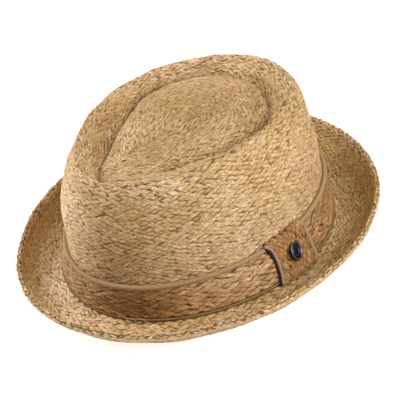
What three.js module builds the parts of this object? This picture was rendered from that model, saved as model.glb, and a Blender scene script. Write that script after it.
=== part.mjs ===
// A teardrop porkpie hat of sewn raffia braid, standing on its turned-up brim.
// Millimetres, +Z up. The front of the hat looks along -Y and the wearer's left is +X.
// The origin is on the floor, under the middle of the hat.

import * as THREE from 'three';
import { mergeVertices } from 'three/addons/utils/BufferGeometryUtils.js';

// Driving sizes
const BRAID_WALL = 2; // thickness of the sewn braid
const GAP = 0.3; // between pieces that touch
const SEGMENTS = 64; // steps round the hat
const EGG = -0.04; // how much narrower the front half of an oval is

// Rings of the brim's upper face, from its edge in to the crown.
// front, back and side are distances from the middle of the head to the ring.
const BRIM_RINGS = [
  { name: 'edge', front: 137.8, back: 136.4, side: 125.4, highFront: 19.5, highSide: 18.3, highBack: 17.7 },
  { name: 'turn_up', front: 133.6, back: 131.6, side: 121.6, highFront: 11.0, highSide: 10.4, highBack: 10.1 },
  { name: 'trough_out', front: 123.8, back: 120.4, side: 112.8, highFront: 1.9, highSide: 1.9, highBack: 1.9 },
  { name: 'trough_in', front: 115.9, back: 111.3, side: 105.6, highFront: 1.9, highSide: 1.9, highBack: 1.9 },
  { name: 'foot', front: 109.2, back: 103.7, side: 99.6, highFront: 3.4, highSide: 3.4, highBack: 3.4 },
  { name: 'collar', front: 106.1, back: 100.1, side: 96.8, highFront: 5.8, highSide: 5.8, highBack: 5.8 },
];

// Rings of the crown's outer face, from the brim up over the top to its middle.
// point draws the front of a ring into the tip of the teardrop: 0 is a plain oval.
const CROWN_RINGS = [
  { name: 'base', front: 106.0, back: 100.1, side: 96.7, point: 0, highFront: 6.1, highSide: 6.1, highBack: 6.1 },
  { name: 'band_top', front: 100.8, back: 102.3, side: 84.2, point: 0, highFront: 33.4, highSide: 33.4, highBack: 33.4 },
  { name: 'middle', front: 99.7, back: 101.1, side: 85.5, point: 0, highFront: 66, highSide: 66, highBack: 66 },
  { name: 'shoulder', front: 87.7, back: 100.3, side: 73.3, point: 0, highFront: 95.8, highSide: 95.8, highBack: 95.8 },
  { name: 'ridge', front: 80.8, back: 94.9, side: 66.3, point: 0.05, highFront: 102.9, highSide: 106.3, highBack: 96.2 },
  { name: 'lip', front: 76.8, back: 90.4, side: 61.0, point: 0.3, highFront: 101.0, highSide: 104.0, highBack: 93.6 },
  { name: 'groove', front: 73.4, back: 77.0, side: 51.1, point: 0.75, highFront: 94.7, highSide: 94.9, highBack: 89.1 },
  { name: 'bulge_edge', front: 66.5, back: 68.4, side: 42.3, point: 0.62, highFront: 97.5, highSide: 100.6, highBack: 94.3 },
  { name: 'bulge', front: 47.4, back: 51.9, side: 25.9, point: 0.3, highFront: 100.7, highSide: 103.7, highBack: 97.9 },
  { name: 'centre', front: 20.0, back: 24.0, side: 0, point: 0, highFront: 102.6, highSide: 102.6, highBack: 101.2 },
];

// Folds and dents: a ring's points near an angle move out from the middle and up.
// Angles run from the front, over the wearer's left, in degrees.
const FOLDS = [
  { name: 'brim_left_dip', ring: 'edge', angle: 60, spread: 70, out: 2.0, up: -1.3 },
  { name: 'brim_back_rise', ring: 'edge', angle: 180, spread: 60, out: -1.0, up: 1.6 },
  { name: 'near_pinch_low', ring: 'middle', angle: 36, spread: 34, out: -1.6, up: 0 },
  { name: 'far_pinch_low', ring: 'middle', angle: 324, spread: 34, out: -1.6, up: 0 },
  { name: 'near_pinch_high', ring: 'shoulder', angle: 34, spread: 30, out: -1.8, up: 0 },
  { name: 'far_pinch_high', ring: 'shoulder', angle: 326, spread: 30, out: -1.8, up: 0 },
  { name: 'back_left_slope', ring: 'shoulder', angle: 150, spread: 45, out: -0.9, up: 0 },
  { name: 'back_right_slope', ring: 'shoulder', angle: 215, spread: 45, out: -1.0, up: 0 },
  { name: 'right_ridge', ring: 'ridge', angle: 292, spread: 60, out: -1.5, up: 0 },
  { name: 'back_right_ridge', ring: 'ridge', angle: 245, spread: 60, out: 0, up: -0.6 },
  { name: 'back_groove', ring: 'groove', angle: 195, spread: 60, out: 8.5, up: 0 },
  { name: 'tip_groove', ring: 'groove', angle: 335, spread: 45, out: 3.5, up: 0 },
  { name: 'near_tip', ring: 'groove', angle: 30, spread: 40, out: 0, up: 4.2 },
  { name: 'near_tip_bulge', ring: 'bulge_edge', angle: 30, spread: 40, out: 0, up: 1.6 },
  { name: 'far_crease', ring: 'bulge_edge', angle: 245, spread: 50, out: 0, up: 1.6 },
  { name: 'back_bulge', ring: 'bulge_edge', angle: 190, spread: 52, out: 8.0, up: 0.5 },
];

// Steps from each ring to the next
const BRIM_STEPS = [2, 2, 2, 1, 2];
const CROWN_STEPS = [3, 2, 3, 3, 1, 2, 2, 2, 2];

const EDGE_BRAID = { reach: 5.5, thick: 1.3 }; // the last row of braid, folded over the brim's edge
const BAND = { low: 8.5, high: 30.0, thick: 1.6 };
const TOP_BINDING = { high: 31.9, radius: 1.6 };
const BOTTOM_BINDING = { high: 7.2, radius: 1.0 };
const SEAT = 0.1; // extra room behind a binding
const TAB = { from: 83.6, to: 103.5, thick: 1.9 }; // angles of its sides
const TAB_BINDING_RADIUS = 1.2;
const BUTTON = { angle: 94.1, high: 20.3, radius: 7.3, rim: 1.3, height: 2.5, dish: 0.9, stand: 0.6 };
const BUTTON_ROUNDING = { foot: 0.6, shoulder: 0.7, dome: 0.3 };

// The tab's run from the brim up over the band to the crown: how far off the wall, and how high.
// roll is how far its outer face reaches past that at the top, where the tab curls in to the crown.
const TAB_RUN = [
  { off: 2.9, high: 6.4, roll: 0 },
  { off: 2.4, high: 10, roll: 0 },
  { off: 2.3, high: 18, roll: 0 },
  { off: 2.4, high: 26, roll: 0 },
  { off: 3.8, high: 30.6, roll: 0 },
  { off: 3.9, high: 32.6, roll: 0.8 },
  { off: 2.2, high: 34.8, roll: 1.6 },
];
const TAB_ROLL_IN = 0.6; // how far the curl comes in for each millimetre it reaches up

const RAFFIA = { color: 0xc9a468, roughness: 0.75, metalness: 0 };
const BAND_RAFFIA = { color: 0xb88a58, roughness: 0.7, metalness: 0 };
const TAUPE_TAPE = { color: 0x9c7d5c, roughness: 0.9, metalness: 0 };
const DARK_METAL = { color: 0x2b2d33, roughness: 0.35, metalness: 0.9 };

// Where the tip's narrowing is largest, so that a pointed ring keeps its full width
function widest(point) {
  const angle = Math.acos(-point / (point + 2));
  return Math.sin(angle) * Math.sin(angle / 2) ** point;
}

function foldShift(ringName, angle) {
  const shift = { out: 0, up: 0 };
  for (const fold of FOLDS) {
    if (fold.ring !== ringName) continue;
    const degrees = THREE.MathUtils.radToDeg(angle);
    const apart = Math.abs(THREE.MathUtils.euclideanModulo(degrees - fold.angle + 180, 360) - 180);
    if (apart >= fold.spread) continue;
    const weight = Math.cos((apart / fold.spread) * Math.PI / 2) ** 2;
    shift.out += fold.out * weight;
    shift.up += fold.up * weight;
  }
  return shift;
}

function ringPoint(ring, angle) {
  const half = (ring.front + ring.back) / 2;
  const point = ring.point ?? 0;
  const tip = point > 0 ? Math.abs(Math.sin(angle / 2)) ** point / widest(point) : 1 + EGG * Math.cos(angle);
  const shift = foldShift(ring.name, angle);
  const x = ring.side * Math.sin(angle) * tip + shift.out * Math.sin(angle);
  const y = (ring.back - ring.front) / 2 - (half + shift.out) * Math.cos(angle);
  const ends = (ring.highFront + ring.highBack) / 2 - ring.highSide;
  const lean = (ring.highFront - ring.highBack) / 2;
  const z = ring.highSide + ends * Math.cos(angle) ** 2 + lean * Math.cos(angle) + shift.up;
  return new THREE.Vector3(x, y, z);
}

function profile(rings, angle) {
  const points = rings.map((ring) => ringPoint(ring, angle));
  return new THREE.CatmullRomCurve3(points, false, 'centripetal');
}

const ANGLES = Array.from({ length: SEGMENTS }, (_, i) => (i / SEGMENTS) * 2 * Math.PI);

// Outward normal of the face at a place: along is counted in rings from the first one
function faceNormal(rings, angle, along) {
  const span = rings.length - 1;
  const turn = 0.02;
  const step = 0.01;
  const low = Math.max(0, along - step);
  const high = Math.min(span, along + step);
  const here = profile(rings, angle);
  const up = here.getPoint(high / span).sub(here.getPoint(low / span));
  const ahead = profile(rings, angle + turn).getPoint(along / span);
  const behind = profile(rings, angle - turn).getPoint(along / span);
  return ahead.sub(behind).cross(up).normalize();
}

function facePoint(rings, angle, along, lift) {
  const place = profile(rings, angle).getPoint(along / (rings.length - 1));
  return lift === 0 ? place : place.addScaledVector(faceNormal(rings, angle, along), lift);
}

// Positions along the profile, in rings, for the given steps between rings
function stations(steps, first = 0) {
  const list = [first];
  steps.forEach((count, ring) => {
    for (let i = 1; i <= count; i += 1) {
      list.push(ring + i / count);
    }
  });
  return list;
}

// A closed body through rings of points. Each ring runs round the hat the same way.
function loftRings(rings, closed) {
  const positions = rings.flatMap((ring) => ring.flatMap((point) => point.toArray()));
  const indices = [];
  const count = rings[0].length;
  const strips = closed ? rings.length : rings.length - 1;
  for (let row = 0; row < strips; row += 1) {
    const next = (row + 1) % rings.length;
    for (let i = 0; i < count; i += 1) {
      const j = (i + 1) % count;
      const a = row * count + i;
      const b = row * count + j;
      const c = next * count + j;
      const d = next * count + i;
      indices.push(a, b, c, a, c, d);
    }
  }
  return closedGeometry(positions, indices);
}

function closedGeometry(positions, indices) {
  const geometry = new THREE.BufferGeometry();
  geometry.setAttribute('position', new THREE.Float32BufferAttribute(positions, 3));
  geometry.setIndex(indices);
  return mergeVertices(geometry, 1e-3);
}

// The brim: its underside is flat where it stands on the floor
function brimGeometry() {
  const edgeStart = 0.16; // the wall stops inside the folded edge braid
  const along = stations(BRIM_STEPS, edgeStart);
  const top = along.map((at) => ANGLES.map((angle) => facePoint(BRIM_RINGS, angle, at, 0)));
  const under = along.map((at) => ANGLES.map((angle) => {
    const place = facePoint(BRIM_RINGS, angle, at, -BRAID_WALL);
    return place.setZ(Math.max(place.z, 0));
  }));
  return loftRings([...top, ...under.reverse()], true);
}

// The crown: a wall that closes over the head. Inside the ridge its lining face lies straight below.
function crownGeometry() {
  const ridge = CROWN_RINGS.findIndex((ring) => ring.name === 'ridge');
  const overRidge = ridge + 0.5; // from here on the wall is measured straight down
  const deeper = 1.25; // and is this much deeper, as it lies on a slope
  const upward = new THREE.Vector3(0, 0, 1);
  const along = stations(CROWN_STEPS);
  const outside = along.map((at) => ANGLES.map((angle) => facePoint(CROWN_RINGS, angle, at, 0)));
  const inside = along.map((at) => ANGLES.map((angle) => {
    const upright = THREE.MathUtils.smoothstep(at, ridge - 1, overRidge);
    const place = facePoint(CROWN_RINGS, angle, at, 0);
    const outward = at < overRidge ? faceNormal(CROWN_RINGS, angle, at) : upward.clone();
    outward.lerp(upward, upright).normalize();
    return place.addScaledVector(outward, -BRAID_WALL * THREE.MathUtils.lerp(1, deeper, upright));
  }));
  return loftRings([...inside.reverse(), ...outside], false);
}

// The last row of braid, folded over the brim's edge from both sides
function edgeBraidGeometry() {
  const under = -BRAID_WALL - GAP;
  const section = [
    { in: 1, lift: GAP },
    { in: 1, lift: GAP + EDGE_BRAID.thick },
    { in: 0.35, lift: GAP + EDGE_BRAID.thick },
    { in: 0.02, lift: -0.1 },
    { in: 0.02, lift: -BRAID_WALL },
    { in: 0.35, lift: under - EDGE_BRAID.thick },
    { in: 1, lift: under - EDGE_BRAID.thick },
    { in: 1, lift: under },
    { in: 0.24, lift: under },
    { in: 0.24, lift: GAP },
  ];
  const span = ringPoint(BRIM_RINGS[0], 0).distanceTo(ringPoint(BRIM_RINGS[1], 0));
  const rings = section.map((spot) => ANGLES.map((angle) => {
    const along = (spot.in * EDGE_BRAID.reach) / span;
    return facePoint(BRIM_RINGS, angle, along, spot.lift);
  }));
  return loftRings(rings.reverse(), true);
}

// How far up the crown's profile, in rings, its wall reaches a height
function wallAlong(angle, high) {
  const wall = profile(CROWN_RINGS, angle);
  const halvings = 20;
  let below = 0;
  let above = CROWN_RINGS.findIndex((ring) => ring.name === 'middle');
  for (let halving = 0; halving < halvings; halving += 1) {
    const middle = (below + above) / 2;
    if (wall.getPoint(middle / (CROWN_RINGS.length - 1)).z < high) {
      below = middle;
    } else {
      above = middle;
    }
  }
  return below;
}

// A place beside the crown's wall: off is how far out from the wall, high its height
function besideWall(angle, off, high) {
  const along = wallAlong(angle, high);
  const out = faceNormal(CROWN_RINGS, angle, along).setZ(0).normalize();
  return facePoint(CROWN_RINGS, angle, along, 0).addScaledVector(out, off).setZ(high);
}

function bandGeometry() {
  const inner = GAP;
  const outer = GAP + BAND.thick;
  const ringAt = (off, high) => ANGLES.map((angle) => besideWall(angle, off, high));
  const middle = (BAND.low + BAND.high) / 2;
  const outside = [ringAt(outer, BAND.low), ringAt(outer, middle), ringAt(outer, BAND.high)];
  const inside = [ringAt(inner, BAND.high), ringAt(inner, middle), ringAt(inner, BAND.low)];
  return loftRings([...outside, ...inside], true);
}

// A round cord all the way round the crown
function bindingGeometry(binding) {
  const sides = 7;
  const off = GAP + binding.radius + SEAT;
  const rings = Array.from({ length: sides }, (_, side) => {
    const turn = (side / sides) * 2 * Math.PI;
    const out = off + binding.radius * Math.cos(turn);
    const high = binding.high + binding.radius * Math.sin(turn);
    return ANGLES.map((angle) => besideWall(angle, out, high));
  });
  return loftRings(rings, true);
}

function tabGeometry() {
  const across = 6;
  const count = TAB_RUN.length;
  const loop = [];
  for (let step = 0; step <= across; step += 1) {
    const angle = THREE.MathUtils.degToRad(THREE.MathUtils.lerp(TAB.from, TAB.to, step / across));
    const inner = TAB_RUN.map((spot) => besideWall(angle, spot.off, spot.high));
    const outer = TAB_RUN.map((spot) => {
      const off = spot.off + TAB.thick - spot.roll * TAB_ROLL_IN;
      return besideWall(angle, off, spot.high + spot.roll);
    });
    loop.push([...outer, ...inner.reverse()]);
  }
  const positions = loop.flatMap((points) => points.flatMap((point) => point.toArray()));
  const indices = [];
  const size = 2 * count;
  for (let step = 0; step < across; step += 1) {
    for (let i = 0; i < size; i += 1) {
      const a = step * size + i;
      const b = (step + 1) * size + i;
      const c = (step + 1) * size + ((i + 1) % size);
      const d = step * size + ((i + 1) % size);
      indices.push(a, b, c, a, c, d);
    }
  }
  for (let i = 0; i < count - 1; i += 1) {
    const [a, b, c, d] = [i, i + 1, size - 2 - i, size - 1 - i];
    const last = across * size;
    indices.push(a, b, c, a, c, d);
    indices.push(last + a, last + c, last + b, last + a, last + d, last + c);
  }
  return closedGeometry(positions, indices);
}

// A cord down one side of the tab
function tabBindingGeometry(angleDegrees, side) {
  const angle = THREE.MathUtils.degToRad(angleDegrees);
  const middleOff = TAB.thick / 2 + GAP;
  const clear = (GAP + TAB_BINDING_RADIUS) * side;
  const path = TAB_RUN.map((spot) => {
    const place = besideWall(angle, spot.off + middleOff, spot.high + GAP);
    const ahead = besideWall(angle + 0.01, spot.off, spot.high);
    const along = ahead.sub(besideWall(angle, spot.off, spot.high)).normalize();
    return place.addScaledVector(along, clear);
  });
  const circle = new THREE.Shape().absarc(0, 0, TAB_BINDING_RADIUS, 0, 2 * Math.PI);
  const extrudePath = new THREE.CatmullRomCurve3(path, false, 'centripetal');
  const geometry = new THREE.ExtrudeGeometry(circle, { curveSegments: 4, steps: 12, extrudePath });
  geometry.deleteAttribute('normal');
  geometry.deleteAttribute('uv');
  return mergeVertices(geometry, 1e-3);
}

// A press button with a raised rim round a dished face
function buttonGeometry() {
  const { radius, rim, height, dish } = BUTTON;
  const { foot, shoulder, dome } = BUTTON_ROUNDING;
  const outline = [
    new THREE.Vector2(0, 0),
    new THREE.Vector2(radius - foot, 0),
    new THREE.Vector2(radius, foot),
    new THREE.Vector2(radius, height - shoulder),
    new THREE.Vector2(radius - rim / 2, height),
    new THREE.Vector2(radius - rim, height - dish),
    new THREE.Vector2(radius / 2, height - dish + dome),
    new THREE.Vector2(0, height - dish + dome),
  ];
  return new THREE.LatheGeometry(outline, 24);
}

const hat = new THREE.Group();

function addPiece(name, geometry, finish) {
  const piece = new THREE.Mesh(geometry, new THREE.MeshStandardMaterial(finish));
  piece.name = name;
  hat.add(piece);
  return piece;
}

addPiece('brim', brimGeometry(), RAFFIA);
addPiece('crown', crownGeometry(), RAFFIA);
addPiece('edge_braid', edgeBraidGeometry(), RAFFIA);
addPiece('hat_band', bandGeometry(), BAND_RAFFIA);
addPiece('band_top_binding', bindingGeometry(TOP_BINDING), TAUPE_TAPE);
addPiece('band_bottom_binding', bindingGeometry(BOTTOM_BINDING), TAUPE_TAPE);
addPiece('band_tab', tabGeometry(), BAND_RAFFIA);
addPiece('tab_front_binding', tabBindingGeometry(TAB.from, -1), TAUPE_TAPE);
addPiece('tab_rear_binding', tabBindingGeometry(TAB.to, 1), TAUPE_TAPE);

const button = addPiece('snap_button', buttonGeometry(), DARK_METAL);
const buttonAngle = THREE.MathUtils.degToRad(BUTTON.angle);
const tabFace = TAB_RUN[2].off + TAB.thick + BUTTON.stand;
const wallNormal = faceNormal(CROWN_RINGS, buttonAngle, wallAlong(buttonAngle, BUTTON.high));
button.position.copy(besideWall(buttonAngle, tabFace, BUTTON.high));
button.quaternion.setFromUnitVectors(new THREE.Vector3(0, 1, 0), wallNormal);

// Brings the middle of the hat over the origin and its lowest face onto the floor
hat.updateMatrixWorld(true);
const reach = new THREE.Box3().setFromObject(hat, true);
const middle = reach.getCenter(new THREE.Vector3()).setZ(reach.min.z);
for (const piece of hat.children) {
  piece.position.sub(middle);
}

export default hat;
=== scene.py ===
import math

import bmesh
import bpy
import numpy as np
from mathutils import Matrix, Vector


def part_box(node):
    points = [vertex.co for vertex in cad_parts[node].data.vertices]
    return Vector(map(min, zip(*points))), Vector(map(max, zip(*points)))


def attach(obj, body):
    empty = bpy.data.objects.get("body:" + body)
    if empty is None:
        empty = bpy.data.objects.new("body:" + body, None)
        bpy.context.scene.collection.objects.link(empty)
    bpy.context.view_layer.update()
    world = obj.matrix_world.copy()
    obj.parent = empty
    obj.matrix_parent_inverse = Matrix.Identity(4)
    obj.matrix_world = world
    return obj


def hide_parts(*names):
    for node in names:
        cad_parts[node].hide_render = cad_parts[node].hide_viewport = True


# A teardrop porkpie hat of plaited raffia. Tables and sizes are in millimetres; meshes are in metres.
# The front of the hat looks along -Y and the wearer's left is +X.

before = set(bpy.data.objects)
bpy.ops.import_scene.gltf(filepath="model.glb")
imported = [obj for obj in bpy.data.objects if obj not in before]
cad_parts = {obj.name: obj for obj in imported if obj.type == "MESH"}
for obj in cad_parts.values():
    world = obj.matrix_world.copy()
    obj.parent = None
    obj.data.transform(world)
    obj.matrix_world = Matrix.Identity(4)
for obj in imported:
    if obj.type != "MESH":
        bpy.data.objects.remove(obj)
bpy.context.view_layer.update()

MM = 0.001
EGG = -0.04  # how much narrower the front half of an oval is

# name, front, back, side, point, height at the front, the side and the back
BRIM_RINGS = [
    ("edge", 137.8, 136.4, 125.4, 0, 19.5, 18.3, 17.7),
    ("turn_up", 133.6, 131.6, 121.6, 0, 11.0, 10.4, 10.1),
    ("trough_out", 123.8, 120.4, 112.8, 0, 1.9, 1.9, 1.9),
    ("trough_in", 115.9, 111.3, 105.6, 0, 1.9, 1.9, 1.9),
    ("foot", 109.2, 103.7, 99.6, 0, 3.4, 3.4, 3.4),
    ("collar", 106.1, 100.1, 96.8, 0, 5.8, 5.8, 5.8),
]
CROWN_RINGS = [
    ("base", 106.0, 100.1, 96.7, 0, 4.8, 4.8, 4.8),
    ("band_top", 100.8, 102.3, 84.2, 0, 33.4, 33.4, 33.4),
    ("middle", 99.7, 101.1, 85.5, 0, 66, 66, 66),
    ("shoulder", 87.7, 100.3, 73.3, 0, 95.8, 95.8, 95.8),
    ("ridge", 80.8, 94.9, 66.3, 0.05, 102.9, 106.3, 96.2),
    ("lip", 76.8, 90.4, 61.0, 0.3, 100.4, 103.1, 92.9),
    ("wall", 74.4, 82.6, 55.4, 0.62, 96.2, 97.0, 89.7),
    ("groove", 73.4, 77.6, 51.6, 0.75, 92.2, 91.6, 86.4),
    ("flank", 72.1, 76.0, 50.0, 0.72, 94.9, 95.2, 89.8),
    ("bulge_edge", 68.3, 71.0, 45.0, 0.62, 97.3, 100.4, 94.0),
    ("bulge", 47.4, 51.9, 25.9, 0.3, 100.7, 103.7, 97.9),
    ("centre", 20.0, 24.0, 0, 0, 102.6, 102.6, 101.2),
]
RIDGE = 4  # the ridge's place in the crown's rings

# Folds and dents: rings, angle from the front over the wearer's left, spread, shift out and shift up
FOLDS = [
    ("edge", 60, 70, 2.0, -1.3),
    ("edge", 180, 60, -1.0, 1.6),
    ("edge", 352, 38, 1.5, 0),
    ("edge", 308, 26, -0.7, 0),
    ("middle", 36, 34, -1.6, 0),
    ("middle", 324, 34, -2.1, 0),
    ("shoulder", 34, 30, -1.8, 0),
    ("shoulder", 322, 34, -2.5, 0),
    ("shoulder", 150, 45, -0.9, 0),
    ("shoulder", 215, 45, -1.0, 0),
    ("lip", 118, 38, 2.5, -1.2),
    ("ridge", 292, 60, -2.0, 0),
    ("ridge", 235, 75, 0, -1.2),
    ("wall groove flank", 215, 50, 2.5, 0),
    ("wall groove flank", 300, 44, -2.6, 0),
    ("wall groove flank", 283, 34, -3.4, 0),
    ("wall groove flank", 150, 40, -4.0, 0),
    ("wall groove flank", 335, 45, 3.5, 0),
    ("groove", 28, 48, 0, 7.2),
    ("wall flank", 28, 48, 0, 4.4),
    ("wall groove flank", 305, 50, 0, -1.5),
    ("bulge_edge", 30, 40, 0, 1.6),
    ("bulge_edge", 216, 56, 1.0, -1.2),
    ("bulge_edge", 292, 46, -3.6, 0),
    ("bulge_edge", 150, 40, -3.0, 0),
]

BAND_LOW, BAND_HIGH = 8.3, 30.4
BAND_OFF, BAND_SWELL = 1.5, 0.75  # distance from the crown's wall at its edges, and how much more between
BAND_UNDER, BAND_THICK = 0.4, 1.0  # the plain wall's depth under the band's face, and its thickness
TAB_FROM, TAB_TO = 84.6, 102.8  # angles of the tab's sides
BUTTON_ANGLE, BUTTON_HIGH, BUTTON_OFF = 94.1, 20.3, 5.4
BUTTON_TURN = 20.0  # degrees the button faces further back than the wall behind it

# the tab's run up over the band: distance of its outer face from the crown's wall, height, and how many
# degrees its front side swings round to the back there
TAB_RUN = [
    (4.6, 6.0, 0.0), (4.4, 9.0, 0.4), (4.1, 14.0, 1.0), (4.1, 20.0, 1.2), (4.2, 26.0, 0.8), (4.9, 30.6, 0.0),
    (5.0, 32.6, -0.8), (3.9, 34.6, -1.8), (1.6, 35.6, -2.6), (-0.6, 35.9, -3.0),
]

# Painted light and shade: places where the straw is coloured brighter where light falls, and darker where
# shade lies in creases and hollows. Columns: surface, angle from the front over the wearer's left, spread,
# place up the surface's profile, spread along it, and how much brighter or darker the straw is painted there
PAINTED_LIGHT_AND_SHADE = [
    ("crown_side", 12, 28, 0.3, 1.5, -0.18),
    ("crown_side", 30, 50, 1.0, 0.3, 0.24),
    ("crown_side", 72, 45, 0.15, 0.45, 0.15),
    ("crown_side", 340, 28, 0.4, 1.5, 0.22),
    ("crown_side", 220, 60, 1.0, 0.3, 0.25),
    ("crown_top", 305, 50, 0.18, 0.14, -0.20),
    ("crown_top", 200, 40, 0.12, 0.12, 0.12),
    ("crown_top", 335, 36, 0.23, 0.08, -0.25),
    ("crown_top", 300, 50, 0.44, 0.12, 0.16),
    ("crown_top", 330, 50, 0.68, 0.24, 0.26),
    ("crown_top", 230, 45, 0.21, 0.1, -0.32),
    ("crown_top", 160, 24, 0.44, 0.1, -0.22),
    ("crown_top", 172, 20, 0.18, 0.1, -0.26),
    ("crown_top", 220, 70, 0.0, 0.2, 0.28),
    ("crown_top", 180, 900, 0.85, 0.5, -0.12),
    ("crown_top", 0, 40, 0.1, 0.3, 0.12),
    ("brim", 340, 42, 0.75, 0.7, 0.56),
    ("brim", 342, 30, 0.0, 0.4, 0.45),
    ("brim", 62, 24, 0.6, 0.4, 0.25),
    ("brim", 90, 70, 0.2, 0.3, -0.12),
    ("brim", 130, 75, 0.4, 0.7, -0.28),
    ("brim", 282, 34, 0.3, 0.6, -0.20),
    ("band", 345, 25, 0.3, 1.0, 0.34),
    ("band", 20, 28, 0.4, 1.2, -0.32),
    ("band", 66, 34, 0.7, 1.2, 0.32),
    ("band", 130, 45, 0.5, 1.2, -0.04),
]

WALL = 2.0  # the whole thickness of the sewn braid
UNDER = 0.35  # how far the plain wall lies inside either face of the braid
INNER = WALL - UNDER  # how far the sheet for the inner strands lies inside the outer face
BRIM_REST = WALL - 0.2  # the lowest that the brim's upper face comes
TURN_UP_TO = 0.46  # where the brim's turned-up side ends, as a share of the way in from its edge
PLAIT_START = 0.86  # where the crown's plait starts, as a share of the way from base to band top
UNEVEN_FROM, UNEVEN_RISE = 30, 20  # height where the crown's lumps begin, and over which they grow
FINE = 16  # points between two rings of a stack
COLUMNS = 720  # columns of a sheet that goes right round


# Shapes

def widest(point):
    """Where a teardrop's tip narrows it most, so that a pointed ring keeps its full width."""
    angle = math.acos(-point / (point + 2))
    return math.sin(angle) * math.sin(angle / 2) ** point


def ring_points(ring, angles):
    name, front, back, side, point, high_front, high_side, high_back = ring
    out = np.zeros_like(angles)
    up = np.zeros_like(angles)
    for fold_ring, at, spread, fold_out, fold_up in FOLDS:
        if name in fold_ring.split():
            apart = np.abs((np.degrees(angles) - at + 180) % 360 - 180)
            weight = np.where(apart < spread, np.cos(apart / spread * np.pi / 2) ** 2, 0)
            out += fold_out * weight
            up += fold_up * weight
    if point > 0:
        tip = np.abs(np.sin(angles / 2)) ** point / widest(point)
    else:
        tip = 1 + EGG * np.cos(angles)
    x = side * np.sin(angles) * tip + out * np.sin(angles)
    y = (back - front) / 2 - ((front + back) / 2 + out) * np.cos(angles)
    ends = (high_front + high_back) / 2 - high_side
    lean = (high_front - high_back) / 2
    z = high_side + ends * np.cos(angles) ** 2 + lean * np.cos(angles) + up
    return np.stack([x, y, z], -1)


def smooth_stack(rings, angles):
    """A centripetal Catmull-Rom curve through the rings, column by column: (rows, columns, 3)."""
    knots = np.stack([ring_points(ring, angles) for ring in rings])
    padded = np.concatenate([[2 * knots[0] - knots[1]], knots, [2 * knots[-1] - knots[-2]]])
    steps = np.linalg.norm(np.diff(padded, axis=0), axis=-1, keepdims=True) ** 0.5
    steps = np.maximum(steps, 1e-6)
    rows = []
    for i in range(len(rings) - 1):
        p0, p1, p2, p3 = padded[i:i + 4]
        d0, d1, d2 = steps[i:i + 3]
        leave = ((p1 - p0) / d0 - (p2 - p0) / (d0 + d1) + (p2 - p1) / d1) * d1
        arrive = ((p2 - p1) / d1 - (p3 - p1) / (d1 + d2) + (p3 - p2) / d2) * d1
        for t in np.arange(FINE) / FINE:
            rows.append((2 * t ** 3 - 3 * t ** 2 + 1) * p1 + (t ** 3 - 2 * t ** 2 + t) * leave
                        + (3 * t ** 2 - 2 * t ** 3) * p2 + (t ** 3 - t ** 2) * arrive)
    rows.append(knots[-1])
    return np.stack(rows)


def unevenness(points, seed, size, wave):
    """Soft lumps of hand work: size is their height and wave their length."""
    chance = np.random.default_rng(seed)
    total = np.zeros(points.shape[:-1])
    for _ in range(10):
        way = chance.normal(size=3)
        way *= 2 * np.pi / (wave * chance.uniform(0.6, 1.6)) / np.linalg.norm(way)
        total += np.sin(points @ way + chance.uniform(0, 2 * np.pi))
    return total * size / 3


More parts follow.
